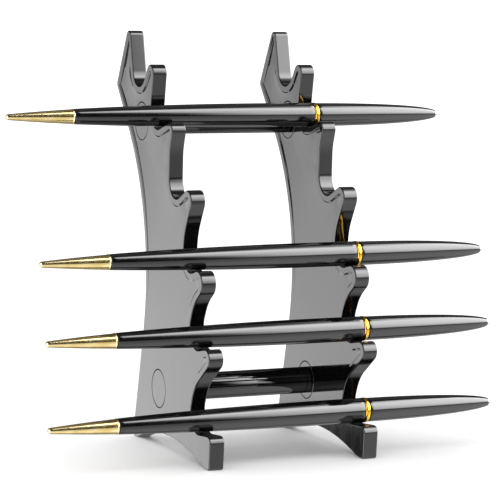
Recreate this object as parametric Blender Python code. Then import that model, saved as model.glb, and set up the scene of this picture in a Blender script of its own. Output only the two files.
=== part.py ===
"""Six-place pen rack carrying four slim twist-action pens.

Frame: metres, +Z up, +X along the pens from tail to point, -Y towards the
user, origin on the table at the centre of the whole object's box.
Two stepped side plates stand on edge.  Two tubular bars hold them apart, and
an end plug pressed through each plate carries each end of each bar.
Every pen lies across the pair of hooks at its own height.
"""

from dataclasses import dataclass
from math import acos, asin, atan2, ceil, cos, pi, sin

import bmesh
import bpy

MM = 0.001
GAP = 0.3 * MM

# Rack: where the plates and the bars are.
FRONT_Y = -48.0 * MM
LEFT_PLATE_X = -31.0 * MM
PLATE_PITCH = 60.0 * MM
PLATE_THICK = 5.6 * MM
EDGE_BREAK = 0.4 * MM
PANEL_DEPTH = 0.5 * MM
RIM_WIDTH = 2.8 * MM
SHARP_TIP_R = 0.3 * MM
ARC_SAG = 0.12 * MM
BREAK_ANGLE = pi / 3.0

# Bars and end plugs.
BARS = {"lower": (50.7 * MM, 22.1 * MM), "upper": (70.4 * MM, 120.8 * MM)}
BAR_R = 5.0 * MM
BAR_BORE_R = 3.8 * MM
PLUG_HOLE_R = 7.4 * MM
PLUG_SPIGOT_R = 3.5 * MM
PLUG_SPIGOT_LENGTH = 9.0 * MM
PLUG_LEAD = 0.6 * MM

# Pens: lengths are measured from the tail end, radii from the pen's axis.
PEN_LENGTH = 175.8 * MM
CONE_LENGTH = 25.6 * MM
RING_AT = 121.0 * MM
RING_HALF_WIDTH = 0.85 * MM
RING_R = 4.58 * MM
BARREL_R = 4.475 * MM
BARREL_END_R = 2.85 * MM
BARREL_FULL_AT = 105.0 * MM
BARREL_SWELL = 2.1
NOSE_R = 4.375 * MM
NOSE_SPAN = 53.0 * MM
NOSE_POWER = 0.375
NOSE_END = 172.6 * MM
TAIL_TIP = ((0.0, 0.6 * MM), (0.35 * MM, 1.0 * MM), (1.0 * MM, 1.2 * MM))
CONE_STEP = 0.05 * MM
TAIL_BORE_R = 1.9 * MM
TAIL_SPIGOT_LENGTH = 7.0 * MM
RING_BREAK_R = 0.15 * MM
RING_BREAK_LENGTH = 0.4 * MM
DRIVER_BORE_R = 3.3 * MM
DRIVER_START = 66.0 * MM
DRIVER_END = 128.0 * MM
DRIVER_WALL = 0.6 * MM
REAR_BORE_START = 64.0 * MM
REAR_BORE_TAPER = 4.0 * MM
NOSE_BORE_END = 140.0 * MM
NOSE_CHANNEL_START = 148.0 * MM
MOUTH_LENGTH = 2.0 * MM
MOUTH_TAPER = 1.0 * MM
REFILL_START = 70.0 * MM
REFILL_SHOULDER = 166.0 * MM
REFILL_R = 1.15 * MM
HOLDER_START = 100.0 * MM
HOLDER_END = 116.0 * MM
HOLDER_R = 2.1 * MM
CHANNEL_SPARE_R = 0.35 * MM
POINT_BODY_R = 1.0 * MM
POINT_NEEDLE_START = 170.3 * MM
POINT_NEEDLE_R = 0.75 * MM
POINT_BALL_R = 0.4 * MM
POINT_BALL_LENGTH = 0.3 * MM

# How finely the turned pieces are divided.
BARREL_SIDES = 20
TUBE_SIDES = 12
HOLE_SIDES = 40
REAR_STATIONS = 6
NOSE_STATIONS = 9
NOSE_PACKING = 1.6
SMOOTH_ANGLE = pi / 5.0
WELD = 0.001 * MM

# Which hook each pen lies in, and where its tail end is along X.
PENS = {1: (2, -89.0 * MM), 2: (4, -87.1 * MM), 3: (5, -87.1 * MM), 4: (6, -86.8 * MM)}

CONVEX = 1
CONCAVE = -1


@dataclass(frozen=True)
class Disc:
    """A disc that the plate's outline wraps, in millimetres behind and above the toe.

    inset_y and inset_z move its centre for the recessed panel's outline, which
    passes by the discs that have in_panel off.
    """

    name: str
    y: float
    z: float
    r: float
    side: int
    inset_y: float = 0.0
    inset_z: float = 0.0
    in_panel: bool = True


# The outline runs along the floor to the heel, up the back and down the stepped front.
OUTLINE = (
    Disc("toe", 1.4, 1.0, 1.0, CONVEX, 2.4, 3.4),
    Disc("toe_pad", 4.6, 0.5, 0.5, CONVEX, in_panel=False),
    Disc("arch", 40.0, -94.0, 100.0, CONCAVE),
    Disc("heel_pad", 74.8, 0.5, 0.5, CONVEX, in_panel=False),
    Disc("heel", 77.0, 1.5, 1.5, CONVEX, -2.0, 2.9),
    Disc("waist", 149.5, 64.0, 85.0, CONCAVE),
    Disc("bulge", 94.5, 134.5, 2.0, CONVEX, -1.0, 0.0),
    Disc("tip_1", 83.5, 152.5, 2.2, CONVEX),
    Disc("hook_1", 71.5, 141.0, 7.2, CONCAVE),
    Disc("tip_2", 60.0, 138.5, 3.5, CONVEX),
    Disc("hook_2", 51.8, 125.5, 7.2, CONCAVE),
    Disc("tip_3", 40.0, 118.0, 3.0, CONVEX),
    Disc("sweep_3", 22.6, 107.5, 17.0, CONCAVE),
    Disc("hook_3", 32.8, 101.0, 7.2, CONCAVE),
    Disc("tip_4", 22.0, 93.5, 4.0, CONVEX),
    Disc("sweep_4", 5.5, 74.5, 20.0, CONCAVE),
    Disc("hook_4", 18.3, 75.5, 7.2, CONCAVE),
    Disc("tip_5", 12.0, 65.0, 4.5, CONVEX),
    Disc("sweep_5", 2.5, 46.0, 16.5, CONCAVE),
    Disc("hook_5", 11.8, 48.5, 7.2, CONCAVE),
    Disc("tip_6", 4.0, 39.0, 3.5, CONVEX),
    Disc("sweep_6", 1.5, 16.5, 16.5, CONCAVE),
    Disc("hook_6", 10.8, 18.5, 7.2, CONCAVE),
    Disc("tip_7", 2.0, 9.5, 2.5, CONVEX, 0.8, 0.0),
)
HOOKS = {int(disc.name[-1]): disc for disc in OUTLINE if disc.name.startswith("hook")}

# Colour, metallic and roughness of each material.
FINISHES = {
    "rack_plastic": ((0.012, 0.012, 0.013, 1.0), 0.0, 0.16),
    "barrel_lacquer": ((0.010, 0.010, 0.012, 1.0), 0.0, 0.12),
    "gold_plate": ((0.78, 0.56, 0.22, 1.0), 1.0, 0.20),
    "driver_brass": ((0.62, 0.47, 0.22, 1.0), 1.0, 0.35),
    "refill_tube": ((0.60, 0.62, 0.66, 1.0), 0.0, 0.40),
    "refill_steel": ((0.70, 0.71, 0.73, 1.0), 1.0, 0.22),
}


def clear_scene():
    """Remove every object that the new file starts with."""
    for old in list(bpy.data.objects):
        bpy.data.objects.remove(old, do_unlink=True)


def make_material(name):
    """Return the named finish as a Principled material."""
    colour, metallic, roughness = FINISHES[name]
    material = bpy.data.materials.new(name)
    material.use_nodes = True
    shader = material.node_tree.nodes["Principled BSDF"]
    shader.inputs["Base Color"].default_value = colour
    shader.inputs["Metallic"].default_value = metallic
    shader.inputs["Roughness"].default_value = roughness
    material.diffuse_color = colour
    return material


def place(name, mesh, material, location=(0.0, 0.0, 0.0), parent=None):
    """Add an object for the mesh, dressed and placed."""
    piece = bpy.data.objects.new(name, mesh)
    bpy.context.collection.objects.link(piece)
    piece.location = location
    piece.parent = parent
    if not mesh.materials:
        mesh.materials.append(material)
    return piece


def wrapped_outline(discs):
    """Return the points of a belt wrapped round the discs, counter-clockwise.

    Each disc is (y, z, r, side).  Neighbouring discs are joined by the tangent
    that keeps a convex disc on its left and a concave one on its right.
    """
    count = len(discs)
    leave = []
    arrive = [None] * count
    for i, (y1, z1, r1, s1) in enumerate(discs):
        y2, z2, r2, s2 = discs[(i + 1) % count]
        span = ((y2 - y1) ** 2 + (z2 - z1) ** 2) ** 0.5
        turn = atan2(z2 - z1, y2 - y1) - asin((s2 * r2 - s1 * r1) / span)
        normal = (-sin(turn), cos(turn))
        leave.append((y1 - s1 * r1 * normal[0], z1 - s1 * r1 * normal[1]))
        arrive[(i + 1) % count] = (y2 - s2 * r2 * normal[0], z2 - s2 * r2 * normal[1])
    points = []
    for (y, z, r, side), start, end in zip(discs, arrive, leave):
        first = atan2(start[1] - z, start[0] - y)
        sweep = (side * (atan2(end[1] - z, end[0] - y) - first)) % (2.0 * pi)
        step = 2.0 * acos(1.0 - min(ARC_SAG / r, 0.5))
        parts = max(1, ceil(sweep / step))
        for k in range(parts + 1):
            angle = first + side * sweep * k / parts
            points.append((y + r * cos(angle), z + r * sin(angle)))
    return points


def plate_discs():
    """Return the outline's discs in metres from the toe."""
    return [(d.y * MM, d.z * MM, d.r * MM, d.side) for d in OUTLINE]


def panel_discs():
    """Return the recessed panel's discs: the outline moved in by the rim's width."""
    discs = []
    for d in (disc for disc in OUTLINE if disc.in_panel):
        radius = max(d.r * MM - d.side * RIM_WIDTH, SHARP_TIP_R)
        discs.append(((d.y + d.inset_y) * MM, (d.z + d.inset_z) * MM, radius, d.side))
    return discs


def prism_mesh(name, points, x_low, x_high):
    """Return the outline extruded from x_low to x_high."""
    shape = bmesh.new()
    shape.faces.new([shape.verts.new((x_low, y + FRONT_Y, z)) for y, z in points])
    pushed = bmesh.ops.extrude_face_region(shape, geom=shape.faces[:])
    moved = [v for v in pushed["geom"] if isinstance(v, bmesh.types.BMVert)]
    bmesh.ops.translate(shape, verts=moved, vec=(x_high - x_low, 0.0, 0.0))
    bmesh.ops.recalc_face_normals(shape, faces=shape.faces[:])
    mesh = bpy.data.meshes.new(name)
    shape.to_mesh(mesh)
    shape.free()
    return mesh


def turned_mesh(name, profile, sides, closed):
    """Return a piece turned about the X axis from (length, radius) points.

    closed joins the last point to the first, for a tube.
    """
    shape = bmesh.new()
    verts = [shape.verts.new((s, 0.0, r)) for s, r in profile]
    edges = [shape.edges.new(pair) for pair in zip(verts, verts[1:])]
    if closed:
        edges.append(shape.edges.new((verts[-1], verts[0])))
    bmesh.ops.spin(
        shape, geom=verts + edges, cent=(0, 0, 0), axis=(1, 0, 0), angle=2.0 * pi, steps=sides, use_merge=True
    )
    bmesh.ops.remove_doubles(shape, verts=shape.verts[:], dist=WELD)
    bmesh.ops.recalc_face_normals(shape, faces=shape.faces[:])
    mesh = bpy.data.meshes.new(name)
    shape.to_mesh(mesh)
    shape.free()
    mesh.shade_smooth()
    mesh.set_sharp_from_angle(angle=SMOOTH_ANGLE)
    return mesh


def add_cutter(name, mesh, target):
    """Cut the mesh out of the target and leave the cutter as a guide."""
    cutter = place(name, mesh, None)
    cutter.hide_render = True
    cutter.display_type = "WIRE"
    cut = target.modifiers.new(name, "BOOLEAN")
    cut.operation = "DIFFERENCE"
    cut.object = cutter
    return cutter


def build_plate(name, x_low, material):
    """Side plate: stepped outline, raised rim on both faces and two plug holes."""
    x_high = x_low + PLATE_THICK
    plate = place(name, prism_mesh(name, wrapped_outline(plate_discs()), x_low, x_high), material)
    edge = plate.modifiers.new("edge_break", "BEVEL")
    edge.width = EDGE_BREAK
    edge.segments = 1
    edge.limit_method = "ANGLE"
    edge.angle_limit = BREAK_ANGLE
    panel = wrapped_outline(panel_discs())
    reach = PLATE_THICK / 2.0
    add_cutter(name + "_outer_pocket", prism_mesh("pocket", panel, x_low - reach, x_low + PANEL_DEPTH), plate)
    add_cutter(name + "_inner_pocket", prism_mesh("pocket", panel, x_high - PANEL_DEPTH, x_high + reach), plate)
    for bar, (y, z) in BARS.items():
        far = PLATE_THICK + reach
        profile = [(-reach, 0.0), (-reach, PLUG_HOLE_R), (far, PLUG_HOLE_R), (far, 0.0)]
        drill = add_cutter(name + "_" + bar + "_drill", turned_mesh("drill", profile, HOLE_SIDES, False), plate)
        drill.location = (x_low, y + FRONT_Y, z)


def build_bars(material):
    """Two tubes between the plates, and the plug that holds each of their ends."""
    web = PLATE_THICK - 2.0 * PANEL_DEPTH
    left_web = LEFT_PLATE_X + PANEL_DEPTH
    right_web = LEFT_PLATE_X + PLATE_PITCH + PANEL_DEPTH
    tube_length = right_web - left_web - web - 2.0 * GAP
    tube = [(0.0, BAR_BORE_R), (0.0, BAR_R), (tube_length, BAR_R), (tube_length, BAR_BORE_R)]
    head_r = PLUG_HOLE_R - GAP
    spigot_end = web + PLUG_SPIGOT_LENGTH
    plug = [
        (0.0, 0.0),
        (0.0, head_r - EDGE_BREAK),
        (EDGE_BREAK, head_r),
        (web, head_r),
        (web, PLUG_SPIGOT_R),
        (spigot_end - PLUG_LEAD, PLUG_SPIGOT_R),
        (spigot_end, PLUG_SPIGOT_R - PLUG_LEAD),
        (spigot_end, 0.0),
    ]
    tube_mesh = turned_mesh("bar", tube, BARREL_SIDES, True)
    plug_mesh = turned_mesh("end_plug", plug, BARREL_SIDES, False)
    for name, (y, z) in BARS.items():
        place(name + "_bar", tube_mesh, material, (left_web + web + GAP, y + FRONT_Y, z))
        place(name + "_left_end_plug", plug_mesh, material, (left_web, y + FRONT_Y, z))
        mirrored = place(name + "_right_end_plug", plug_mesh, material, (right_web + web, y + FRONT_Y, z))
        mirrored.rotation_euler = (0.0, 0.0, pi)


def rear_radius(s):
    """Outer radius of the rear barrel: it swells from the cone to its full size."""
    short_of_full = max(0.0, (BARREL_FULL_AT - s) / (BARREL_FULL_AT - CONE_LENGTH))
    return BARREL_R - (BARREL_R - BARREL_END_R) * short_of_full**BARREL_SWELL


def nose_radius(s):
    """Outer radius of the front barrel, which closes in a long bullet curve."""
    t = (s - RING_AT) / NOSE_SPAN
    return NOSE_R * (1.0 - t * t) ** NOSE_POWER


def stations(start, end, count, bias=1.0):
    """Return lengths from start to end, packed towards the end where bias is over 1."""
    return [end - (end - start) * (1.0 - k / count) ** bias for k in range(count + 1)]


def pen_meshes():
    """Return each pen piece's mesh with its material's name."""
    cone_end = CONE_LENGTH - GAP / 2.0
    barrel_start = CONE_LENGTH + GAP / 2.0
    barrel_end = RING_AT - RING_HALF_WIDTH - GAP
    nose_start = RING_AT + RING_HALF_WIDTH + GAP
    spigot_r = TAIL_BORE_R - GAP
    tail_cone = [
        (0.0, 0.0),
        *TAIL_TIP,
        (cone_end, BARREL_END_R - CONE_STEP),
        (cone_end, spigot_r),
        (cone_end + TAIL_SPIGOT_LENGTH, spigot_r),
        (cone_end + TAIL_SPIGOT_LENGTH, 0.0),
    ]
    rear_outer = [(s, rear_radius(s)) for s in stations(barrel_start, BARREL_FULL_AT, REAR_STATIONS)]
    rear_barrel = rear_outer + [
        (barrel_end, BARREL_R),
        (barrel_end, DRIVER_BORE_R),
        (REAR_BORE_START, DRIVER_BORE_R),
        (REAR_BORE_START - REAR_BORE_TAPER, TAIL_BORE_R),
        (barrel_start, TAIL_BORE_R),
    ]
    driver_r = DRIVER_BORE_R - GAP
    driver_sleeve = [
        (DRIVER_START, driver_r - DRIVER_WALL),
        (DRIVER_START, driver_r),
        (DRIVER_END, driver_r),
        (DRIVER_END, driver_r - DRIVER_WALL),
    ]
    ring_low = RING_AT - RING_HALF_WIDTH
    ring_high = RING_AT + RING_HALF_WIDTH
    centre_ring = [
        (ring_low, DRIVER_BORE_R),
        (ring_low, RING_R - RING_BREAK_R),
        (ring_low + RING_BREAK_LENGTH, RING_R),
        (ring_high - RING_BREAK_LENGTH, RING_R),
        (ring_high, RING_R - RING_BREAK_R),
        (ring_high, DRIVER_BORE_R),
    ]
    mouth_r = POINT_NEEDLE_R + GAP
    channel_r = REFILL_R + CHANNEL_SPARE_R
    front_barrel = [(s, nose_radius(s)) for s in stations(nose_start, NOSE_END, NOSE_STATIONS, NOSE_PACKING)]
    front_barrel += [
        (NOSE_END, mouth_r),
        (NOSE_END - MOUTH_LENGTH, mouth_r),
        (NOSE_END - MOUTH_LENGTH - MOUTH_TAPER, channel_r),
        (NOSE_CHANNEL_START, channel_r),
        (NOSE_BORE_END, DRIVER_BORE_R),
        (nose_start, DRIVER_BORE_R),
    ]
    refill_tube = [
        (REFILL_START, 0.0),
        (REFILL_START, REFILL_R),
        (REFILL_SHOULDER, REFILL_R),
        (REFILL_SHOULDER, 0.0),
    ]
    refill_holder = [
        (HOLDER_START, REFILL_R + GAP),
        (HOLDER_START, HOLDER_R),
        (HOLDER_END, HOLDER_R),
        (HOLDER_END, REFILL_R + GAP),
    ]
    refill_point = [
        (REFILL_SHOULDER + GAP, 0.0),
        (REFILL_SHOULDER + GAP, POINT_BODY_R),
        (POINT_NEEDLE_START - MOUTH_TAPER, POINT_BODY_R),
        (POINT_NEEDLE_START, POINT_NEEDLE_R),
        (NOSE_END, POINT_NEEDLE_R),
        (PEN_LENGTH - POINT_BALL_LENGTH, POINT_BALL_R),
        (PEN_LENGTH, POINT_BALL_R / 2.0),
        (PEN_LENGTH, 0.0),
    ]
    return {
        "tail_cone": (turned_mesh("tail_cone", tail_cone, BARREL_SIDES, False), "gold_plate"),
        "rear_barrel": (turned_mesh("rear_barrel", rear_barrel, BARREL_SIDES, True), "barrel_lacquer"),
        "driver_sleeve": (turned_mesh("driver_sleeve", driver_sleeve, TUBE_SIDES, True), "driver_brass"),
        "centre_ring": (turned_mesh("centre_ring", centre_ring, BARREL_SIDES, True), "gold_plate"),
        "front_barrel": (turned_mesh("front_barrel", front_barrel, BARREL_SIDES, True), "barrel_lacquer"),
        "refill_tube": (turned_mesh("refill_tube", refill_tube, TUBE_SIDES, False), "refill_tube"),
        "refill_holder": (turned_mesh("refill_holder", refill_holder, TUBE_SIDES, True), "driver_brass"),
        "refill_point": (turned_mesh("refill_point", refill_point, TUBE_SIDES, False), "refill_steel"),
    }


def build_pens(materials):
    """Lay each pen in its hooks, its ring just clear of the hooks' lowest point."""
    meshes = pen_meshes()
    for number, (hook_number, tail_x) in PENS.items():
        hook = HOOKS[hook_number]
        axis_z = (hook.z - hook.r) * MM + GAP + RING_R
        seat = bpy.data.objects.new("pen_%d_axis" % number, None)
        bpy.context.collection.objects.link(seat)
        seat.location = (tail_x, hook.y * MM + FRONT_Y, axis_z)
        for piece, (mesh, finish) in meshes.items():
            place("pen_%d_%s" % (number, piece), mesh, materials[finish], parent=seat)


def main():
    """Build the rack and the pens."""
    clear_scene()
    materials = {name: make_material(name) for name in FINISHES}
    build_plate("left_plate", LEFT_PLATE_X, materials["rack_plastic"])
    build_plate("right_plate", LEFT_PLATE_X + PLATE_PITCH, materials["rack_plastic"])
    build_bars(materials["rack_plastic"])
    build_pens(materials)


main()
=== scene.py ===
"""Looks for a six-place pen rack that carries four slim twist-action pens.

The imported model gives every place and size.  Each class below makes the fine
surface of one sub-assembly, dresses it, and hangs it on the body it moves with.
"""

import logging
from collections.abc import Iterable, Sequence
from dataclasses import dataclass, field
from enum import Enum
from math import acos, asin, atan2, ceil, cos, erf, exp, hypot, pi, radians, sin
from typing import Any, ClassVar

import bmesh
import bpy
from mathutils import Matrix, Vector
from mathutils.geometry import delaunay_2d_cdt


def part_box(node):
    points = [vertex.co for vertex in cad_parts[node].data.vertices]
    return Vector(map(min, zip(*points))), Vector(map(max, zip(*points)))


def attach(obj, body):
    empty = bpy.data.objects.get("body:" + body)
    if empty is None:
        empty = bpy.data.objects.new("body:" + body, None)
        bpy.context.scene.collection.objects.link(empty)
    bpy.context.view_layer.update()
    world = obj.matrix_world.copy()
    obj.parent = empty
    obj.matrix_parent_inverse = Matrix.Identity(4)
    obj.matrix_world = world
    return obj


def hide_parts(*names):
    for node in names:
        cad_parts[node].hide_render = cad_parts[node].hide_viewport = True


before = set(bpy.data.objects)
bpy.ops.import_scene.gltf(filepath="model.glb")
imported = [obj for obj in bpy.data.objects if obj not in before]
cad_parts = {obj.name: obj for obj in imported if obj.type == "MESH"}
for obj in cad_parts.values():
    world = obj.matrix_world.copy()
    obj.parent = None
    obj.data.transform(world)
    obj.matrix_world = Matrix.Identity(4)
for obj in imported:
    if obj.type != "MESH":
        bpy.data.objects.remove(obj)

LOG = logging.getLogger("pen_rack")
MM = 0.001
WHITE = (1.0, 1.0, 1.0, 1.0)
SMOOTH_ANGLE = 32.0
WELD_MM = 0.0005
SAME_POINT_MM = 0.001
SAME_POINT_CDT_MM = 1e-7

# Area under half of a bell curve of unit height and reach.
BELL_AREA = 0.886

Point2 = tuple[float, float]
Point3 = tuple[float, float, float]
Colour = tuple[float, float, float, float]
Socket = bpy.types.NodeSocket
Tree = bpy.types.NodeTree
Material = bpy.types.Material


class Turn(Enum):
    """Which side of an outline a disc lies on."""

    CONVEX = 1
    CONCAVE = -1


class RackSlot(Enum):
    """Material slots of the record that the fine pieces take their finish from."""

    PLASTIC = "rack_plastic"
    LACQUER = "barrel_lacquer"
    GOLD = "gold_plate"
    BRASS = "driver_brass"
    REFILL = "refill_tube"
    STEEL = "refill_steel"


# ---- Colour and nodes


def linear(code: str) -> Colour:
    """Turn an sRGB hex colour such as "#C0A060" into a linear RGBA tuple.

    Args:
        code: six hex digits after a hash.

    Returns:
        Linear red, green, blue and an alpha of one.
    """
    channels = [int(code[i : i + 2], 16) / 255.0 for i in (1, 3, 5)]
    red, green, blue = [c / 12.92 if c <= 0.04045 else ((c + 0.055) / 1.055) ** 2.4 for c in channels]
    return (red, green, blue, 1.0)


def add_node(tree: Tree, kind: str, inputs: dict[Any, Any] | None = None, **settings: Any) -> Any:
    """Add a node, apply its settings, and fill or link its inputs.

    Args:
        tree: the node tree that the node joins.
        kind: Blender's identifier of the node's type.
        inputs: input name or number to a value, or to the socket that feeds it.
        settings: attributes of the node itself.

    Returns:
        The new node.
    """
    node = tree.nodes.new(kind)
    for key, value in settings.items():
        setattr(node, key, value)
    for key, value in (inputs or {}).items():
        if isinstance(value, Socket):
            tree.links.new(value, node.inputs[key])
        else:
            node.inputs[key].default_value = value
    return node


def maths(tree: Tree, operation: str, *values: Any) -> Socket:
    """Return the result of a math node on values or sockets."""
    return add_node(tree, "ShaderNodeMath", dict(enumerate(values)), operation=operation).outputs[0]


def per_metre(size_mm: float) -> float:
    """Return the texture scale whose features are size_mm across."""
    return 1.0 / (size_mm * MM)


def noise(tree: Tree, size_mm: Point3, detail: float = 2.0, rough: float = 0.5) -> Socket:
    """Return a noise value from 0 to 1 with features size_mm across.

    Args:
        tree: node tree that receives the nodes.
        size_mm: feature size along X, Y and Z.
        detail: octaves of finer noise.
        rough: how strong the finer octaves are.

    Returns:
        The noise's value socket.
    """
    place = add_node(tree, "ShaderNodeTexCoord").outputs["Object"]
    scale = tuple(per_metre(size) for size in size_mm)
    vector = add_node(tree, "ShaderNodeMapping", {"Vector": place, "Scale": scale}).outputs["Vector"]
    inputs = {"Vector": vector, "Scale": 1.0, "Detail": detail, "Roughness": rough}
    return add_node(tree, "ShaderNodeTexNoise", inputs).outputs[0]


def relief(tree: Tree, height: Socket, depth_mm: float, below: Socket | None = None) -> Socket:
    """Return a normal bumped by a height value.

    Args:
        tree: node tree that receives the node.
        height: value from 0 to 1.
        depth_mm: height of a value of one.
        below: normal of a coarser relief that this one lies on.

    Returns:
        The bump's normal socket.
    """
    inputs = {"Height": height, "Distance": depth_mm * MM, "Strength": 1.0}
    if below is not None:
        inputs["Normal"] = below
    return add_node(tree, "ShaderNodeBump", inputs).outputs["Normal"]


# ---- Finishes


@dataclass(frozen=True)
class Finish:
    """A finish whose colour and gloss wander between two values."""

    name: str
    dark: str
    light: str
    gloss: float
    dull: float

    # The part of a noise value's range that nearly all of it lies in.
    noise_low: ClassVar[float] = 0.3
    noise_high: ClassVar[float] = 0.7

    def blank(self) -> tuple[Material, Tree]:
        """Return a new material of this finish's name and its empty node tree."""
        material = bpy.data.materials.new(self.name)
        material.use_nodes = True
        material.node_tree.nodes.clear()
        return material, material.node_tree

    def surface(self, tree: Tree, tint: Socket, wear: Socket, normal: Socket, more: dict[str, Any]) -> None:
        """End a material's tree in one Principled shader.

        Args:
            tree: the material's tree.
            tint: noise value that moves the colour from dark to light.
            wear: noise value that moves the roughness from gloss to dull.
            normal: the surface's relief.
            more: the shader's other inputs.
        """
        ramp = add_node(tree, "ShaderNodeValToRGB", {0: tint})
        stops = zip(ramp.color_ramp.elements, (self.noise_low, self.noise_high), (self.dark, self.light))
        for stop, position, colour in stops:
            stop.position = position
            stop.color = linear(colour)
        limits = {"Value": wear, "From Min": self.noise_low, "From Max": self.noise_high}
        limits |= {"To Min": self.gloss, "To Max": self.dull}
        rough = add_node(tree, "ShaderNodeMapRange", limits)
        inputs = {"Base Color": ramp.outputs["Color"], "Roughness": rough.outputs["Result"], "Normal": normal}
        shader = add_node(tree, "ShaderNodeBsdfPrincipled", inputs | more)
        add_node(tree, "ShaderNodeOutputMaterial", {"Surface": shader.outputs["BSDF"]})


@dataclass(frozen=True)
class MouldedPolystyrene(Finish):
    """Black polystyrene, injection moulded against a polished tool.

    The melt freezes against mirror steel, so the eye gets a clear reflection
    that bends a little where the thick wall has sunk, and faint flow lines.
    """

    name: str = "black_polystyrene_polished_mould"
    dark: str = "#070708"
    light: str = "#0C0C0E"
    gloss: float = 0.055
    dull: float = 0.095
    ior: float = 1.59
    sink_mm: float = 17.0
    sink_depth_mm: float = 0.016
    flow_mm: Point3 = (3.0, 1.6, 9.0)

    def build(self) -> Material:
        """Return the finish as a node material."""
        material, tree = self.blank()
        sink = noise(tree, (self.sink_mm,) * 3, 1.0)
        flow = noise(tree, self.flow_mm, 3.0, 0.6)
        self.surface(tree, flow, flow, relief(tree, sink, self.sink_depth_mm), {"IOR": self.ior})
        return material


@dataclass(frozen=True)
class TurnedPolystyrene(Finish):
    """Black polystyrene plug, faced on a lathe and flame polished.

    Rings of the facing cut stay under the flame's gloss and draw the
    highlight into faint circles.
    """

    name: str = "black_polystyrene_faced"
    dark: str = "#070708"
    light: str = "#0D0D0E"
    gloss: float = 0.06
    dull: float = 0.12
    ior: float = 1.59
    cloud_mm: Point3 = (4.0, 4.0, 4.0)
    ring_mm: float = 0.8
    ring_depth_mm: float = 0.0008
    ring_wobble: float = 0.4

    # The wave texture runs through one ring in this share of its scale.
    wave_turn: ClassVar[float] = pi / 10.0

    def build(self) -> Material:
        """Return the finish as a node material."""
        material, tree = self.blank()
        inputs = {
            "Vector": add_node(tree, "ShaderNodeTexCoord").outputs["Object"],
            "Scale": per_metre(self.ring_mm) * self.wave_turn,
            "Distortion": self.ring_wobble,
        }
        rings = add_node(tree, "ShaderNodeTexWave", inputs, wave_type="RINGS", rings_direction="X")
        cloud = noise(tree, self.cloud_mm)
        normal = relief(tree, rings.outputs[1], self.ring_depth_mm)
        self.surface(tree, cloud, cloud, normal, {"IOR": self.ior})
        return material


@dataclass(frozen=True)
class PolishedLacquer(Finish):
    """Black lacquer on a brass barrel, sprayed and buffed.

    A clear coat lies over the black, so highlights are sharp and deep.  The
    spray leaves a very low orange peel that ripples their edges.
    """

    name: str = "black_lacquer_buffed"
    dark: str = "#060607"
    light: str = "#0A0A0C"
    gloss: float = 0.10
    dull: float = 0.16
    specular: float = 0.25
    coat_roughness: float = 0.04
    coat_ior: float = 1.5
    cloud_mm: Point3 = (9.0, 3.0, 3.0)
    peel_mm: float = 2.2
    peel_depth_mm: float = 0.0005
    wave_mm: float = 14.0
    wave_depth_mm: float = 0.004

    def build(self) -> Material:
        """Return the finish as a node material."""
        material, tree = self.blank()
        cloud = noise(tree, self.cloud_mm)
        wave = relief(tree, noise(tree, (self.wave_mm,) * 3, 1.0), self.wave_depth_mm)
        peel = relief(tree, noise(tree, (self.peel_mm,) * 3, 1.0), self.peel_depth_mm, wave)
        coat = {"Coat Weight": 1.0, "Coat Roughness": self.coat_roughness, "Coat IOR": self.coat_ior}
        coat |= {"Specular IOR Level": self.specular, "Coat Normal": peel}
        self.surface(tree, cloud, cloud, peel, coat)
        return material


@dataclass(frozen=True)
class GoldPlate(Finish):
    """Gold plate on turned brass.

    The plate is bright but keeps the fine rings of the turning tool, so the
    warm highlight spreads a little across them.
    """

    ring_mm: Point3 = (0.45, 30.0, 30.0)
    ring_depth_mm: float = 0.0012
    cloud_mm: Point3 = (6.0, 2.5, 2.5)

    def build(self) -> Material:
        """Return the finish as a node material."""
        material, tree = self.blank()
        rings = noise(tree, self.ring_mm)
        cloud = noise(tree, self.cloud_mm)
        self.surface(tree, cloud, rings, relief(tree, rings, self.ring_depth_mm), {"Metallic": 1.0})
        return material


@dataclass(frozen=True)
class Lined(Finish):
    """A turned, drawn or extruded surface.

    Tool or die lines run along or round the piece and streak the highlight.
    """

    line_mm: Point3
    line_depth_mm: float
    more: dict[str, float]

    def build(self) -> Material:
        """Return the finish as a node material."""
        material, tree = self.blank()
        lines = noise(tree, self.line_mm)
        self.surface(tree, lines, lines, relief(tree, lines, self.line_depth_mm), self.more)
        return material


@dataclass(frozen=True)
class MattPaper(Finish):
    """Heavy white paper sweep, uncoated: a matt white with no shine."""

    name: str = "white_paper_sweep"
    dark: str = "#F6F6F6"
    light: str = "#F6F6F6"
    gloss: float = 0.8
    dull: float = 0.8

    def build(self) -> Material:
        """Return the finish as a node material."""
        material, tree = self.blank()
        inputs = {"Base Color": linear(self.light), "Roughness": self.dull, "Specular IOR Level": 0.0}
        shader = add_node(tree, "ShaderNodeBsdfPrincipled", inputs)
        add_node(tree, "ShaderNodeOutputMaterial", {"Surface": shader.outputs["BSDF"]})
        return material


# Gold over brass: bright and pale on the turned tail, deeper and smoother on the rolled ring.
TAIL_GOLD = GoldPlate("gold_plate_on_turned_brass", "#D9BC74", "#F0DDA8", 0.13, 0.20)
RING_GOLD = GoldPlate("gold_plate_on_rolled_brass", "#D79A26", "#EBBE50", 0.10, 0.16)

# Polystyrene tube drawn through a sizing die: a clear reflection, streaked lengthwise.
TUBE = Lined(
    "black_polystyrene_extruded", "#08080A", "#0D0D0F", 0.04, 0.08, (45.0, 0.5, 0.5), 0.0006, {"IOR": 1.59}
)

# Stainless steel turned to a point: silvery, with tight rings round it.
STEEL = Lined(
    "stainless_steel_turned", "#B9BCC2", "#DADCE0", 0.14, 0.24, (0.25, 20.0, 20.0), 0.0008, {"Metallic": 1.0}
)

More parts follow.
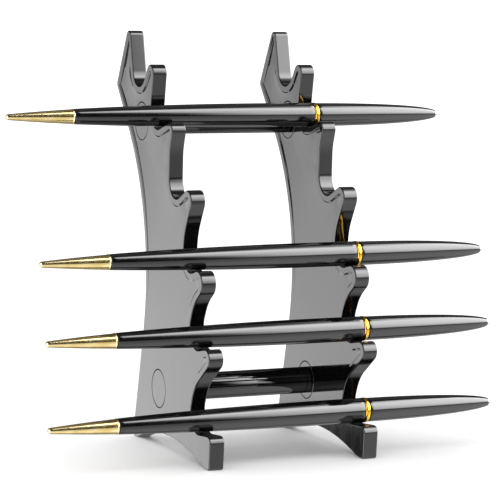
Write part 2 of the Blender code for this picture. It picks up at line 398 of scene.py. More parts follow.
# Brass drawn to a tube: warm and satiny, streaked lengthwise.
BRASS = Lined(
    "brass_tube_drawn", "#A88440", "#C7A45C", 0.26, 0.40, (30.0, 0.4, 0.4), 0.001, {"Metallic": 1.0}
)

# Milky polypropylene tube: a soft waxy white with the ink's dark showing in slow streaks.
WAX = {"IOR": 1.49, "Subsurface Weight": 0.2, "Subsurface Scale": 0.5 * MM}
REFILL = Lined("milky_polypropylene_extruded", "#8C94A6", "#C9CDD6", 0.32, 0.45, (25.0, 0.8, 0.8), 0.001, WAX)


# ---- Mesh tools


@dataclass(frozen=True)
class Disc:
    """A disc that an outline wraps, in millimetres behind and above the toe."""

    y: float
    z: float
    r: float
    turn: Turn = Turn.CONVEX


@dataclass(frozen=True)
class OutlinePoint:
    """A point of an outline and the outward direction there."""

    y: float
    z: float
    ny: float
    nz: float

    def inward(self, depth: float) -> Point2:
        """Return the point that lies depth inside the outline."""
        return (self.y - self.ny * depth, self.z - self.nz * depth)


def wrapped_outline(discs: Sequence[Disc], sag: float) -> list[OutlinePoint]:
    """Wrap a belt round the discs, counter-clockwise.

    Neighbouring discs are joined by the tangent that keeps a convex disc on
    its left and a concave one on its right.

    Args:
        discs: the discs in order.
        sag: how far a chord may cut inside its arc, in millimetres.

    Returns:
        The outline's points in millimetres, with their outward directions.
    """
    count = len(discs)
    leave: list[Point2] = []
    arrive: list[Point2] = [(0.0, 0.0)] * count
    for i, disc in enumerate(discs):
        after = discs[(i + 1) % count]
        away = (after.y - disc.y, after.z - disc.z)
        lean = asin((after.turn.value * after.r - disc.turn.value * disc.r) / hypot(*away))
        heading = atan2(away[1], away[0]) - lean
        left = (-sin(heading), cos(heading))
        reach = disc.turn.value * disc.r
        leave.append((disc.y - reach * left[0], disc.z - reach * left[1]))
        reach = after.turn.value * after.r
        arrive[(i + 1) % count] = (after.y - reach * left[0], after.z - reach * left[1])
    points: list[OutlinePoint] = []
    for disc, start, end in zip(discs, arrive, leave):
        side = disc.turn.value
        first = atan2(start[1] - disc.z, start[0] - disc.y)
        sweep = (side * (atan2(end[1] - disc.z, end[0] - disc.y) - first)) % (2.0 * pi)
        parts = max(1, ceil(sweep / (2.0 * acos(1.0 - min(sag / disc.r, 0.5)))))
        for k in range(parts + 1):
            angle = first + side * sweep * k / parts
            across, up = cos(angle), sin(angle)
            point = OutlinePoint(disc.y + disc.r * across, disc.z + disc.r * up, side * across, side * up)
            if not points or hypot(point.y - points[-1].y, point.z - points[-1].z) > SAME_POINT_MM:
                points.append(point)
    return points


def eased(t: float) -> float:
    """Return a soft step from 0 to 1 as t runs from 0 to 1."""
    return t * t * (3.0 - 2.0 * t)


def inside(point: Point2, ring: Sequence[Point2]) -> bool:
    """Tell whether a point lies inside a closed ring of points."""
    y, z = point
    hit = False
    for (y1, z1), (y2, z2) in zip(ring, [*ring[1:], ring[0]]):
        if (z1 > z) != (z2 > z) and y < (y2 - y1) * (z - z1) / (z2 - z1) + y1:
            hit = not hit
    return hit


@dataclass
class Skin:
    """A mesh being made, in millimetres, with the exact surface direction at each vertex."""

    verts: list[Point3] = field(default_factory=list)
    norms: list[Point3] = field(default_factory=list)
    faces: list[tuple[int, ...]] = field(default_factory=list)

    def add_loop(self, points: Iterable[Point3], normals: Iterable[Point3]) -> list[int]:
        """Add a ring of vertices and return their numbers."""
        start = len(self.verts)
        self.verts.extend(points)
        self.norms.extend(normals)
        return list(range(start, len(self.verts)))

    def bridge(self, one: Sequence[int], two: Sequence[int]) -> None:
        """Join two rings of the same length with quads."""
        for k in range(len(one)):
            after = (k + 1) % len(one)
            self.faces.append((one[k], one[after], two[after], two[k]))

    def fill(self, rings: Sequence[Sequence[int]], loose: Sequence[int], forward: bool) -> None:
        """Fill the face between an outer ring and the rings inside it with triangles.

        Args:
            rings: the outer ring, then the rings that bound its openings.
            loose: single vertices that lie on the face.
            forward: the filled faces look along +X.
        """
        numbers = [n for ring in rings for n in ring] + list(loose)
        flat = [Vector(self.verts[n][1:]) for n in numbers]
        edges = []
        start = 0
        for ring in rings:
            edges.extend((start + k, start + (k + 1) % len(ring)) for k in range(len(ring)))
            start += len(ring)
        points, _, triangles, sources, _, _ = delaunay_2d_cdt(flat, edges, [], 0, SAME_POINT_CDT_MM)
        shapes = [[self.verts[n][1:] for n in ring] for ring in rings]
        for triangle in triangles:
            place = tuple(sum((points[i] for i in triangle), Vector((0.0, 0.0))) / 3.0)
            if inside(place, shapes[0]) and not any(inside(place, shape) for shape in shapes[1:]):
                corners = tuple(numbers[sources[i][0]] for i in triangle)
                self.faces.append(corners if forward else corners[::-1])

    def mesh(self, name: str) -> bpy.types.Mesh:
        """Return the finished mesh in metres."""
        mesh = bpy.data.meshes.new(name)
        mesh.from_pydata([tuple(c * MM for c in v) for v in self.verts], [], self.faces)
        mesh.shade_smooth()
        mesh.normals_split_custom_set_from_vertices([Vector(n).normalized() for n in self.norms])
        return mesh


def arc(centre: Point2, radius: float, start: float, end: float, parts: int) -> list[Point2]:
    """Return points of an arc, angles in degrees.

    Args:
        centre: middle of the arc.
        radius: its radius.
        start: first angle, from the first axis towards the second.
        end: last angle.
        parts: number of chords.

    Returns:
        parts + 1 points from start to end.
    """
    angles = [radians(start + (end - start) * k / parts) for k in range(parts + 1)]
    return [(centre[0] + radius * cos(a), centre[1] + radius * sin(a)) for a in angles]


def turned_mesh(name: str, profile: Iterable[Point2], sides: int, closed: bool) -> bpy.types.Mesh:
    """Turn a profile about the X axis.

    Args:
        name: name of the mesh.
        profile: (length, radius) points in millimetres.
        sides: number of flats round the turning.
        closed: joins the last point to the first, for a tube.

    Returns:
        The mesh, shaded smooth except at its corners.
    """
    shape = bmesh.new()
    verts = [shape.verts.new((s * MM, 0.0, max(r, 0.0) * MM)) for s, r in profile]
    ends = verts[1:] + verts[:1] if closed else verts[1:]
    edges = [shape.edges.new(pair) for pair in zip(verts, ends)]
    bmesh.ops.spin(
        shape, geom=verts + edges, cent=(0, 0, 0), axis=(1, 0, 0), angle=2.0 * pi, steps=sides, use_merge=True
    )
    bmesh.ops.remove_doubles(shape, verts=shape.verts[:], dist=WELD_MM * MM)
    bmesh.ops.recalc_face_normals(shape, faces=shape.faces[:])
    mesh = bpy.data.meshes.new(name)
    shape.to_mesh(mesh)
    shape.free()
    mesh.shade_smooth()
    mesh.set_sharp_from_angle(angle=radians(SMOOTH_ANGLE))
    return mesh


def add_piece(
    name: str,
    mesh: bpy.types.Mesh,
    material: Material,
    at: Vector,
    body: str,
    stands_for: Sequence[str],
    mirrored: bool = False,
) -> bpy.types.Object:
    """Place a fine piece, dress it, and hang it on the body it moves with.

    Args:
        name: the piece's name.
        mesh: its mesh.
        material: its finish.
        at: where its origin goes.
        body: the moving body it rides on.
        stands_for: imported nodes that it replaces.
        mirrored: turns the piece half round so that it faces the other way.

    Returns:
        The placed piece.
    """
    piece = bpy.data.objects.new(name, mesh)
    bpy.context.collection.objects.link(piece)
    if not mesh.materials:
        mesh.materials.append(material)
    piece.location = at
    if mirrored:
        piece.rotation_euler = (0.0, 0.0, pi)
    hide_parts(*stands_for)
    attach(piece, body)
    LOG.info("%s: %d faces, on %s", name, len(mesh.polygons), body)
    return piece


# ---- Rack


@dataclass
class SidePlate:
    """A moulded side plate: stepped front, raised rim and recessed panel on both faces.

    Lengths are in millimetres.  Y is measured back from the toe, Z up from
    the table, and X from the plate's left face.
    """

    rim: float = 2.3
    step: float = 0.7
    depth: float = 0.5
    edge: float = 0.42
    edge_parts: int = 5
    step_loops: int = 8
    dish_slope: float = 0.030
    dish_reach: float = 7.0
    dish_grid: float = 1.6
    grid_rise: float = 152.5
    grid_run: float = 94.5
    grid_clear: float = 0.35
    sink_reach: float = 2.6
    tip_r: float = 0.2
    sag: float = 0.004
    hole_r: float = 7.16
    hole_edge: float = 0.18
    hole_sides: int = 96
    discs: tuple[Disc, ...] = field(
        default=(
            Disc(1.4, 1.0, 1.0),
            Disc(4.6, 0.5, 0.5),
            Disc(40.0, -94.0, 100.0, Turn.CONCAVE),
            Disc(74.8, 0.5, 0.5),
            Disc(77.0, 1.5, 1.5),
            Disc(149.5, 64.0, 85.0, Turn.CONCAVE),
            Disc(94.5, 134.5, 2.0),
            Disc(83.5, 152.5, 2.2),
            Disc(71.5, 141.0, 7.2, Turn.CONCAVE),
            Disc(60.0, 138.5, 3.5),
            Disc(51.8, 125.5, 7.2, Turn.CONCAVE),
            Disc(40.0, 118.0, 3.0),
            Disc(22.6, 107.5, 17.0, Turn.CONCAVE),
            Disc(32.8, 101.0, 7.2, Turn.CONCAVE),
            Disc(22.0, 93.5, 4.0),
            Disc(5.5, 74.5, 20.0, Turn.CONCAVE),
            Disc(18.3, 75.5, 7.2, Turn.CONCAVE),
            Disc(12.0, 65.0, 4.5),
            Disc(2.5, 46.0, 16.5, Turn.CONCAVE),
            Disc(11.8, 48.5, 7.2, Turn.CONCAVE),
            Disc(4.0, 39.0, 3.5),
            Disc(1.5, 16.5, 16.5, Turn.CONCAVE),
            Disc(10.8, 18.5, 7.2, Turn.CONCAVE),
            Disc(2.0, 9.5, 2.5),
        )
    )
    # The panel passes by the two foot pads, and keeps clear of the feet's corners.
    pads: tuple[int, ...] = (1, 3)
    panel_shift: dict[int, Point2] = field(
        default_factory=lambda: {0: (2.4, 3.4), 4: (-2.0, 2.9), 6: (-1.0, 0.0), 23: (0.8, 0.0)}
    )

    # Where the thick top finger has sunk as it cooled: centre, radius and slope.
    sink: tuple[float, float, float, float] = (80.0, 146.0, 11.0, 0.12)

    # Fingers whose panel dips once more just inside the tip.
    tips: tuple[int, ...] = (11, 14, 17, 20)
    tip_reach: float = 2.6
    tip_strength: float = 1.2
    fade_from: float = 45.0
    fade_over: float = 65.0

    def strength(self, y: float, z: float) -> float:
        """Return the panel's share of its full depth at a place: none below, one above, more in the tips."""
        total = eased(min(max((z - self.fade_from) / self.fade_over, 0.0), 1.0))
        for number in self.tips:
            disc = self.discs[number]
            tip_y = disc.y - disc.r + self.rim + self.step
            total += self.tip_strength * exp(-((y - tip_y) ** 2 + (z - disc.z) ** 2) / self.tip_reach**2)
        return total

    def sunk(self, point: OutlinePoint) -> float:
        """Return the extra slope at a point of the panel's edge that the sink gives it."""
        y, z, reach, slope = self.sink
        return slope * exp(-((point.y - y) ** 2 + (point.z - z) ** 2) / reach**2)

    def dish(self, foot: OutlinePoint, distance: float) -> Point2:
        """Return the panel's fall below the step's foot and its slope, at a distance from it."""
        wide = self.dish_slope * self.strength(foot.y, foot.z)
        tight = self.sunk(foot)
        fade_wide = exp(-distance / self.dish_reach)
        fade_tight = exp(-((distance / self.sink_reach) ** 2))
        fall = wide * self.dish_reach * (1.0 - fade_wide)
        fall += tight * self.sink_reach * BELL_AREA * erf(distance / self.sink_reach)
        return fall, wide * fade_wide + tight * fade_tight

    def dished(self, foot: Sequence[OutlinePoint], holes: Sequence[Point2]) -> list[tuple[float, ...]]:
        """Spread points over the panel and find how the dished surface lies at each.

        Args:
            foot: the step's foot, which bounds the panel.
            holes: centres of the plug holes, which the points keep clear of.

        Returns:
            Rows of y, z, fall, and the slope along y and along z.
        """
        ring = [(p.y, p.z) for p in foot]
        rows = []
        for j in range(ceil(self.grid_rise / self.dish_grid)):
            for i in range(ceil(self.grid_run / self.dish_grid)):
                y = (i + 0.5 * (j % 2)) * self.dish_grid
                z = j * self.dish_grid
                on_hole = any(hypot(y - a, z - b) < self.hole_r + self.dish_grid for a, b in holes)
                if on_hole or not inside((y, z), ring):
                    continue
                near = min(foot, key=lambda p: hypot(p.y - y, p.z - z))
                distance = hypot(near.y - y, near.z - z)
                if distance >= self.grid_clear * self.dish_grid:
                    fall, slope = self.dish(near, distance)
                    fall += self.depth * self.strength(y, z)
                    slope /= distance
                    rows.append((y, z, fall, slope * (y - near.y), slope * (z - near.z)))
        return rows

    def panel_loop(self) -> list[OutlinePoint]:
        """Return the foot of the step: the outline moved in by rim and step."""
        moved = []
        for number, disc in enumerate(self.discs):
            if number not in self.pads:
                shift = self.panel_shift.get(number, (0.0, 0.0))
                radius = max(disc.r - disc.turn.value * (self.rim + self.step), self.tip_r)
                moved.append(Disc(disc.y + shift[0], disc.z + shift[1], radius, disc.turn))
        return wrapped_outline(moved, self.sag)

    def panel_fall(self, y: float, z: float) -> float:
        """Return how far the panel lies below the rim at a place well inside it."""
        near = min(self.panel_loop(), key=lambda p: hypot(p.y - y, p.z - z))
        return self.depth * self.strength(y, z) + self.dish(near, hypot(near.y - y, near.z - z))[0]

    def build_mesh(self, thick: float, holes: Sequence[Point2]) -> bpy.types.Mesh:
        """Make the plate's mesh, its origin at the toe on the left face.

        Args:
            thick: the plate's thickness.
            holes: centres of the plug holes.

        Returns:
            The mesh in metres.
        """
        skin = Skin()
        outline = wrapped_outline(self.discs, self.sag)
        rings: list[list[int]] = []
        for face in (-1, 1):
            for k in range(self.edge_parts + 1):
                angle = 0.5 * pi * (k if face < 0 else self.edge_parts - k) / self.edge_parts
                depth = self.edge * (1.0 - sin(angle))
                x = thick / 2.0 + face * (thick / 2.0 - self.edge * (1.0 - cos(angle)))
                points = [(x, *p.inward(depth)) for p in outline]
                normals = [(face * cos(angle), p.ny * sin(angle), p.nz * sin(angle)) for p in outline]
                rings.append(skin.add_loop(points, normals))
        for one, two in zip(rings, rings[1:]):
            skin.bridge(one, two)
        left_walls = self.fill_face(skin, -1, 0.0, rings[0], holes)
        right_walls = self.fill_face(skin, 1, thick, rings[-1], holes)
        for left, right in zip(left_walls, right_walls):
            skin.bridge(right, left)
        return skin.mesh("side_plate")

    def fill_face(
        self, skin: Skin, face: int, base: float, outer: list[int], holes: Sequence[Point2]
    ) -> list[list[int]]:
        """Fill one face: flat rim, soft step, dished panel, and the holes' rounded lips.

        Args:
            skin: the plate's mesh so far.
            face: -1 for the left face, 1 for the right.
            base: where the face stands across the plate.
            outer: vertex numbers of the ring that bounds the flat.
            holes: centres of the plug holes.

        Returns:
            For each hole, the ring where its straight wall begins.
        """
        foot = self.panel_loop()
        loops = [outer]
        for k in range(self.step_loops + 1):
            t = k / self.step_loops
            points = []
            normals = []
            for p in foot:
                depth = self.depth * self.strength(p.y, p.z)
                points.append((base - face * depth * eased(t), *p.inward(self.step * (t - 1.0))))
                slope = depth / self.step * 6.0 * t * (1.0 - t) + t * self.dish(p, 0.0)[1]
                normals.append((face, -p.ny * slope, -p.nz * slope))
            loops.append(skin.add_loop(points, normals))
        for one, two in zip(loops[1:], loops[2:]):
            skin.bridge(*((one, two) if face > 0 else (two, one)))
        panel = []
        for y, z, fall, slope_y, slope_z in self.dished(foot, holes):
            panel += skin.add_loop([(base - face * fall, y, z)], [(face, slope_y, slope_z)])
        walls: list[list[int]] = []
        lips: list[list[int]] = []
        circle = arc((0.0, 0.0), 1.0, 0.0, 360.0, self.hole_sides)[:-1]
        for y, z in holes:
            floor_x = base - face * self.panel_fall(y, z)
            rings = []
            for k in range(self.edge_parts + 1):
                angle = 0.5 * pi * k / self.edge_parts
                r = self.hole_r + self.hole_edge * (1.0 - sin(angle))
                x = floor_x - face * self.hole_edge * (1.0 - cos(angle))
                points = [(x, y + r * c, z + r * s) for c, s in circle]
                normals = [(face * cos(angle), -c * sin(angle), -s * sin(angle)) for c, s in circle]
                rings.append(skin.add_loop(points, normals))
            for one, two in zip(rings, rings[1:]):
                skin.bridge(*((one, two) if face < 0 else (two, one)))
            lips.append(rings[0])
            walls.append(rings[-1])
        skin.fill(loops[:2], [], face > 0)
        skin.fill([loops[-1], *lips], panel, face > 0)
        return walls

    def toe_y(self) -> float:
        """Return where the toe lies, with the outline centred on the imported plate."""
        low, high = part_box("left_plate")
        across = [p.y for p in wrapped_outline(self.discs, self.sag)]
        return (low.y + high.y) / 2.0 - (min(across) + max(across)) / 2.0 * MM

    def hole_at(self, bar: str) -> Point2:
        """Return the middle of a bar's plug hole, in millimetres from the toe and the table."""
        low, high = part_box(bar)
        middle = (low + high) / 2.0
        return ((middle.y - self.toe_y()) / MM, middle.z / MM)

    def build(self, finish: Material) -> None:
        """Make both plates from one mesh and hang them on the rack."""
        low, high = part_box("left_plate")
        holes = [self.hole_at(bar) for bar in ("lower_bar", "upper_bar")]
        mesh = self.build_mesh((high.x - low.x) / MM, holes)
        for node in ("left_plate", "right_plate"):
            at = Vector((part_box(node)[0].x, self.toe_y(), 0.0))
            add_piece(node + "_fine", mesh, finish, at, "rack", [node])


@dataclass
class CrossBar:
    """An extruded tube between the plates, its ends trimmed and broken, in millimetres."""

    sides: int = 80
    wall: float = 1.2
    edge: float = 0.25
    edge_parts: int = 4

    def build(self, finish: Material) -> None:
        """Make both bars from their packed boxes."""
        for node in ("lower_bar", "upper_bar"):
            low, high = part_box(node)
            middle = (low + high) / 2.0
            length = (high.x - low.x) / MM
            radius = (high.z - low.z) / 2.0 / MM
            outer = arc((self.edge, radius - self.edge), self.edge, 180.0, 90.0, self.edge_parts)
            outer += arc((length - self.edge, radius - self.edge), self.edge, 90.0, 0.0, self.edge_parts)
            bore = [(length, radius - self.wall), (0.0, radius - self.wall)]
            mesh = turned_mesh(node + "_fine", outer + bore, self.sides, True)
            at = Vector((low.x, middle.y, middle.z))
            add_piece(node + "_fine", mesh, finish, at, "rack", [node])


@dataclass
class EndPlug:
    """A stepped plug pressed through a plate into a bar's end, in millimetres."""

    sides: int = 96
    edge: float = 0.24
    edge_parts: int = 4
    edge_hold: float = 0.04
    spigot_r: float = 3.5
    spigot_lead: float = 0.6

    def build_mesh(self, radius: float, length: float, head: float) -> bpy.types.Mesh:
        """Return the plug's mesh: flat face, broken rim, head and spigot."""
        flat_r = radius - self.edge
        profile: list[Point2] = [(0.0, 0.0), (0.0, flat_r - self.edge_hold)]
        profile += arc((self.edge, flat_r), self.edge, 180.0, 90.0, self.edge_parts)
        profile += arc((head - self.edge, flat_r), self.edge, 90.0, 0.0, self.edge_parts)
        profile += [(head, flat_r - self.edge_hold), (head, self.spigot_r)]
        profile += [(length - self.spigot_lead, self.spigot_r), (length, self.spigot_r - self.spigot_lead)]
        profile += [(length, 0.0)]
        return turned_mesh("end_plug", profile, self.sides, False)

    def build(self, finish: Material, plate: SidePlate) -> None:
        """Make the plugs, each with its face level with the plate's panel."""
        plate_low, plate_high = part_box("left_plate")
        for bar in ("lower", "upper"):
            low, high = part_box(f"{bar}_left_end_plug")
            fall = plate.panel_fall(*plate.hole_at(f"{bar}_bar")) * MM
            proud = low.x - plate_low.x - fall
            head = (plate_high.x - plate_low.x - 2.0 * fall) / MM
            length = (high.x - low.x + proud) / MM
            mesh = self.build_mesh((high.z - low.z) / 2.0 / MM, length, head)
            for side in ("left", "right"):
                node = f"{bar}_{side}_end_plug"
                low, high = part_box(node)
                middle = (low + high) / 2.0
                mirrored = side == "right"
                at = Vector((high.x + proud if mirrored else low.x - proud, middle.y, middle.z))
                add_piece(node + "_fine", mesh, finish, at, "rack", [node], mirrored)


# ---- Pens


@dataclass
class Pen:
    """One slim pen.  Lengths are from the tail end and radii from its axis, in millimetres."""

    number: int
    sides: int = 96

    # Gold tail.
    cone_tip_r: float = 1.12
    cone_tip_end: float = 100.0
    cone_tip_parts: int = 10
    cone_end: float = 25.45
    cone_end_r: float = 2.70
    cone_swell: float = 0.10
    cone_parts: int = 32
    lip: float = 0.55
    lip_r: float = 2.88
    lip_start: float = 170.0
    lip_parts: int = 8
    tail_spigot_r: float = 1.6
    tail_spigot: float = 7.0

    # Rear barrel.
    break_r: float = 0.12
    break_parts: int = 4
    barrel_start: float = 25.75
    barrel_end: float = 119.85
    barrel_r: float = 4.475
    barrel_end_r: float = 2.85
    barrel_full_at: float = 105.0
    barrel_swell: float = 2.1
    barrel_parts: int = 61
    barrel_bore_r: float = 3.3
    sleeve_start: float = 64.0
    spigot_hole_end: float = 60.0
    spigot_hole_r: float = 1.9

    # Centre ring.
    ring_middle: float = 121.0
    ring_half: float = 0.85
    ring_r: float = 4.58
    ring_edge_r: float = 4.40
    ring_break_r: float = 0.08
    ring_break: float = 0.06
    ring_parts: int = 16
    ring_power: int = 4

    # Front barrel.
    nose_start: float = 122.15
    nose_end: float = 172.6
    nose_r: float = 4.375
    nose_span: float = 53.0
    nose_power: float = 0.375
    nose_parts: int = 72
    nose_packing: float = 1.5
    mouth_r: float = 1.05
    mouth_round: float = 0.15
    mouth_start: float = 70.0
    mouth_length: float = 2.0
    channel_end: float = 3.0
    channel_start: float = 148.0
    channel_r: float = 1.5
    holder_end: float = 140.0

    # Steel point: steps of its outline from the nose's end, then the ball.
    point: tuple[Point2, ...] = (
        (-6.3, 0.0),
        (-6.3, 1.0),
        (-3.3, 1.0),
        (-2.3, 0.75),
        (0.5, 0.75),
        (0.7, 0.67),
        (2.45, 0.44),
        (2.6, 0.40),
    )
    length: float = 175.8
    ball_r: float = 0.34
    ball_start: float = 80.0
    ball_parts: int = 8

    @property
    def prefix(self) -> str:
        """Return the start of this pen's node names."""
        return f"pen_{self.number}_"

    def rear_radius(self, s: float) -> float:
        """Return the rear barrel's outer radius, which swells from the cone to its full size."""
        short = max(0.0, (self.barrel_full_at - s) / (self.barrel_full_at - self.barrel_start))
        return self.barrel_r - (self.barrel_r - self.barrel_end_r) * short**self.barrel_swell

    def nose_radius(self, s: float) -> float:
        """Return the front barrel's outer radius, which closes in a long bullet curve."""
        t = (s - self.ring_middle) / self.nose_span
        return self.nose_r * (1.0 - t * t) ** self.nose_power

    def broken(self, s: float, r: float, after: bool) -> list[Point2]:
        """Return the small arc of a broken edge at the start or the end of a barrel."""
        middle = (s - self.break_r if after else s + self.break_r, r - self.break_r)
        return arc(middle, self.break_r, 90.0 if after else 180.0, 0.0 if after else 90.0, self.break_parts)

    def tail_cone(self) -> list[Point2]:
        """Return the gold tail: round tip, slim swelling cone, and a lip at the barrel."""
        tip = arc((self.cone_tip_r, 0.0), self.cone_tip_r, 180.0, self.cone_tip_end, self.cone_tip_parts)
        start, start_r = tip[-1]
        span = self.cone_end - self.lip - start
        body = []
        for k in range(1, self.cone_parts + 1):
            t = k / self.cone_parts
            rise = start_r + (self.cone_end_r - start_r) * t
            body.append((start + span * t, rise + self.cone_swell * sin(pi * t)))
        half = self.lip / 2.0
        bead = arc((self.cone_end - half, self.lip_r - half), half, self.lip_start, 0.0, self.lip_parts)
        end = self.cone_end + self.tail_spigot
        spigot = [(self.cone_end, self.tail_spigot_r), (end, self.tail_spigot_r), (end, 0.0)]
        return tip + body + bead + spigot

    def rear_barrel(self) -> list[Point2]:
        """Return the rear barrel: broken edges, slow swell, and a bore for the twist sleeve."""
        profile = self.broken(self.barrel_start, self.rear_radius(self.barrel_start), False)
        start = self.barrel_start + self.break_r
        for k in range(1, self.barrel_parts):
            s = start + (self.barrel_end - self.break_r - start) * k / self.barrel_parts
            profile.append((s, self.rear_radius(s)))
        profile += self.broken(self.barrel_end, self.barrel_r, True)
        profile += [(self.barrel_end, self.barrel_bore_r), (self.sleeve_start, self.barrel_bore_r)]
        return profile + [(self.spigot_hole_end, self.spigot_hole_r), (self.barrel_start, self.spigot_hole_r)]

    def centre_ring(self) -> list[Point2]:
        """Return the gold ring: a shallow dome between two small flats."""
        low, high = self.ring_middle - self.ring_half, self.ring_middle + self.ring_half
        flat_r = self.ring_edge_r - self.ring_break_r
        profile = [(low, self.barrel_bore_r), (low, flat_r)]
        for k in range(self.ring_parts + 1):
            t = k / self.ring_parts
            dome = (self.ring_r - self.ring_edge_r) * (1.0 - (2.0 * t - 1.0) ** self.ring_power)
            s = low + self.ring_break + 2.0 * (self.ring_half - self.ring_break) * t
            profile.append((s, self.ring_edge_r + dome))
        return profile + [(high, flat_r), (high, self.barrel_bore_r)]

    def front_barrel(self) -> list[Point2]:
        """Return the front barrel: bullet nose, rounded mouth, and the refill's channel."""
        profile = self.broken(self.nose_start, self.nose_radius(self.nose_start), False)
        start = self.nose_start + self.break_r
        end = self.nose_end - self.mouth_round
        for k in range(1, self.nose_parts + 1):
            t = 1.0 - (1.0 - k / self.nose_parts) ** self.nose_packing
            s = start + (end - start) * t
            profile.append((s, self.nose_radius(s)))
        mouth = (end, self.nose_radius(end) - self.mouth_round)
        profile += arc(mouth, self.mouth_round, self.mouth_start, 0.0, self.break_parts)
        profile += [(self.nose_end, self.mouth_r), (self.nose_end - self.mouth_length, self.mouth_r)]
        profile += [(self.nose_end - self.channel_end, self.channel_r), (self.channel_start, self.channel_r)]
        return profile + [(self.holder_end, self.barrel_bore_r), (self.nose_start, self.barrel_bore_r)]

    def refill_point(self) -> list[Point2]:
        """Return the steel point: stepped body, tapered tip and writing ball."""
        steps = [(self.nose_end + s, r) for s, r in self.point]
        middle = (self.length - self.ball_r, 0.0)
        return steps + arc(middle, self.ball_r, self.ball_start, 0.0, self.ball_parts)

    def build(
        self, finishes: dict[RackSlot, Material], ring_gold: Material, meshes: dict[str, bpy.types.Mesh]
    ) -> None:
        """Make the pen's visible pieces and dress its hidden ones.

        Args:
            finishes: material of each slot.
            ring_gold: the deeper gold of the centre ring.
            meshes: turned meshes shared by the pens, filled by the first.
        """
        rows = (
            ("tail_cone", self.tail_cone, False, "rear", RackSlot.GOLD),
            ("rear_barrel", self.rear_barrel, True, "rear", RackSlot.LACQUER),
            ("centre_ring", self.centre_ring, True, "front", RackSlot.GOLD),
            ("front_barrel", self.front_barrel, True, "front", RackSlot.LACQUER),
            ("refill_point", self.refill_point, False, "refill", RackSlot.STEEL),
        )
        cone_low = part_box(self.prefix + "tail_cone")[0]
        ring_low, ring_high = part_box(self.prefix + "centre_ring")
        middle = (ring_low + ring_high) / 2.0
        at = Vector((cone_low.x, middle.y, middle.z))
        for piece, profile, closed, part, slot in rows:
            if piece not in meshes:
                meshes[piece] = turned_mesh(piece, profile(), self.sides, closed)
            node = self.prefix + piece
            finish = ring_gold if piece == "centre_ring" else finishes[slot]
            add_piece(node + "_fine", meshes[piece], finish, at, self.prefix + part, [node])
        hidden = (
            ("driver_sleeve", RackSlot.BRASS),
            ("refill_holder", RackSlot.BRASS),
            ("refill_tube", RackSlot.REFILL),
        )
        for piece, slot in hidden:
            node = bpy.data.objects[self.prefix + piece]
            node.data.materials.clear()
            node.data.materials.append(finishes[slot])


# ---- Studio


@dataclass(frozen=True)
class Window:
    """A soft-edged bright field of the studio, seen in the gloss only.

    Angles are in degrees: azimuth from +Y towards +X, elevation above the
    horizon.  Each edge fades over its own angle to either side.
    """

    azimuth: float
    half_width: float
    side_fade: float
    low: float
    low_fade: float
    high: float
    high_fade: float
    radiance: float


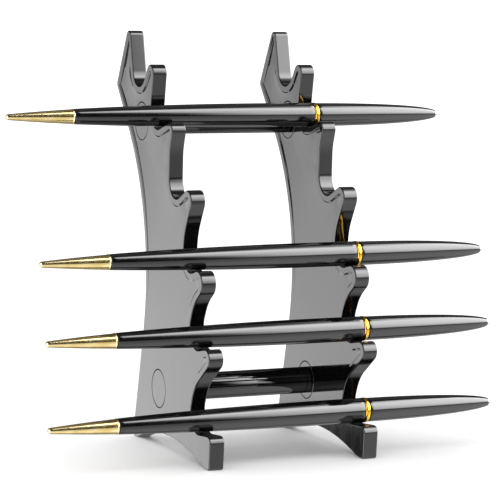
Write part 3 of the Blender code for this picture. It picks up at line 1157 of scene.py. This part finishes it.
@dataclass
class Studio:
    """Paper sweep, soft light, camera, and the bright fields that the gloss mirrors."""

    camera_at: Vector = field(default_factory=lambda: Vector((-0.3100, -0.7431, 0.1456)))
    yaw: float = 0.400417
    pitch: float = 0.08991
    roll: float = 0.003435
    lens_mm: float = 155.7
    paper_size: float = 6.0
    paper_light: float = 1.38
    dark_room: float = 0.03
    windows: tuple[Window, ...] = (
        # Soft box in front, its left edge sharp, brighter to the right and above.
        Window(118.0, 40.0, 3.0, 5.0, 7.0, 62.0, 6.0, 6.5),
        Window(114.0, 36.0, 7.0, 16.0, 12.0, 62.0, 6.0, 3.0),
        # Bright paper in front of the rack, then the paper all round it.
        Window(180.0, 90.0, 20.0, -75.0, 5.0, -4.0, 4.0, 0.8),
        Window(95.0, 58.0, 10.0, -45.0, 25.0, -4.0, 4.0, 0.7),
        Window(0.0, 180.0, 1.0, -95.0, 1.0, -25.0, 20.0, 0.4),
        # Wall of light behind on the left, which the plates' faces mirror.  Its farther
        # part stops short of the floor, so the right plate's foot stays dark.
        Window(-18.5, 4.5, 0.8, -60.0, 20.0, 1.0, 11.0, 2.2),
        Window(-40.5, 17.5, 0.8, -9.4, 0.3, 1.0, 11.0, 2.2),
        # Dimmer wall to the left, which draws the light line along the plates' front edges.
        Window(-105.0, 38.0, 12.0, -60.0, 20.0, 45.0, 15.0, 3.0),
        # Grey ceiling.
        Window(45.0, 80.0, 20.0, 35.0, 20.0, 95.0, 1.0, 0.16),
    )

    def build_camera(self) -> None:
        """Stand the camera in front of the rack, a little to its left."""
        flat = cos(self.pitch)
        ahead = Vector((sin(self.yaw) * flat, cos(self.yaw) * flat, -sin(self.pitch)))
        right = Vector((cos(self.yaw), -sin(self.yaw), 0.0))
        up = right.cross(ahead)
        tilted = cos(self.roll) * right + sin(self.roll) * up
        raised = tilted.cross(ahead)
        data = bpy.data.cameras.new("camera")
        data.lens = self.lens_mm
        data.sensor_width = 36.0
        data.clip_start = 0.01
        data.clip_end = 50.0
        camera = bpy.data.objects.new("camera", data)
        bpy.context.collection.objects.link(camera)
        turn = Matrix((tilted, raised, -ahead)).transposed()
        camera.matrix_world = Matrix.Translation(self.camera_at) @ turn.to_4x4()
        bpy.context.scene.camera = camera

    def build_floor(self) -> None:
        """Lay the paper sweep at the rack's feet."""
        shape = bmesh.new()
        bmesh.ops.create_grid(shape, x_segments=2, y_segments=2, size=self.paper_size / 2.0)
        mesh = bpy.data.meshes.new("paper_floor")
        shape.to_mesh(mesh)
        shape.free()
        mesh.materials.append(MattPaper().build())
        floor = bpy.data.objects.new("paper_floor", mesh)
        bpy.context.collection.objects.link(floor)
        floor.visible_glossy = False

    def window_share(self, tree: Tree, azimuth: Socket, elevation: Socket, window: Window) -> Socket:
        """Return one window's radiance for the direction a ray looks in."""
        centred = maths(tree, "SUBTRACT", azimuth, radians(window.azimuth))
        aside = maths(tree, "ABSOLUTE", maths(tree, "WRAP", centred, pi, -pi))
        share: Socket | float = window.radiance
        for value, edge, fade in (
            (aside, window.half_width, -window.side_fade),
            (elevation, window.low, window.low_fade),
            (elevation, window.high, -window.high_fade),
        ):
            limits = {"Value": value, "From Min": radians(edge - fade), "From Max": radians(edge + fade)}
            mask = add_node(tree, "ShaderNodeMapRange", limits, interpolation_type="SMOOTHSTEP")
            share = maths(tree, "MULTIPLY", mask.outputs["Result"], share)
        return share

    def build_world(self) -> None:
        """Light the sweep evenly, and show the gloss a dark room with bright fields."""
        world = bpy.data.worlds.new("studio")
        world.use_nodes = True
        tree = world.node_tree
        tree.nodes.clear()
        look = add_node(tree, "ShaderNodeTexCoord").outputs["Generated"]
        parts = add_node(tree, "ShaderNodeSeparateXYZ", {0: look}).outputs
        azimuth = maths(tree, "ARCTAN2", parts["X"], parts["Y"])
        elevation = maths(tree, "ARCSINE", parts["Z"])
        total: Socket | float = self.dark_room
        for window in self.windows:
            total = maths(tree, "ADD", self.window_share(tree, azimuth, elevation, window), total)
        gloss = add_node(tree, "ShaderNodeBackground", {"Color": WHITE, "Strength": total})
        paper = add_node(tree, "ShaderNodeBackground", {"Color": WHITE, "Strength": self.paper_light})
        mirrored = add_node(tree, "ShaderNodeLightPath").outputs["Is Glossy Ray"]
        mixed = add_node(tree, "ShaderNodeMixShader", {0: mirrored, 1: paper.outputs[0], 2: gloss.outputs[0]})
        add_node(tree, "ShaderNodeOutputWorld", {"Surface": mixed.outputs[0]})
        bpy.context.scene.world = world

    def build(self) -> None:
        """Set the camera, the floor and the light."""
        self.build_camera()
        self.build_floor()
        self.build_world()
        bpy.context.scene.view_settings.view_transform = "Standard"


def main() -> None:
    """Build the studio, the rack and the pens, in that order."""
    logging.basicConfig(level=logging.INFO, format="%(name)s: %(message)s")
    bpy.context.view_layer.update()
    Studio().build()
    plate = SidePlate()
    plate.build(MouldedPolystyrene().build())
    CrossBar().build(TUBE.build())
    EndPlug().build(TurnedPolystyrene().build(), plate)
    finishes = {
        RackSlot.LACQUER: PolishedLacquer().build(),
        RackSlot.GOLD: TAIL_GOLD.build(),
        RackSlot.STEEL: STEEL.build(),
        RackSlot.BRASS: BRASS.build(),
        RackSlot.REFILL: REFILL.build(),
    }
    ring_gold = RING_GOLD.build()
    meshes: dict[str, bpy.types.Mesh] = {}
    for number in (1, 2, 3, 4):
        Pen(number).build(finishes, ring_gold, meshes)


if __name__ == "__main__":
    main()
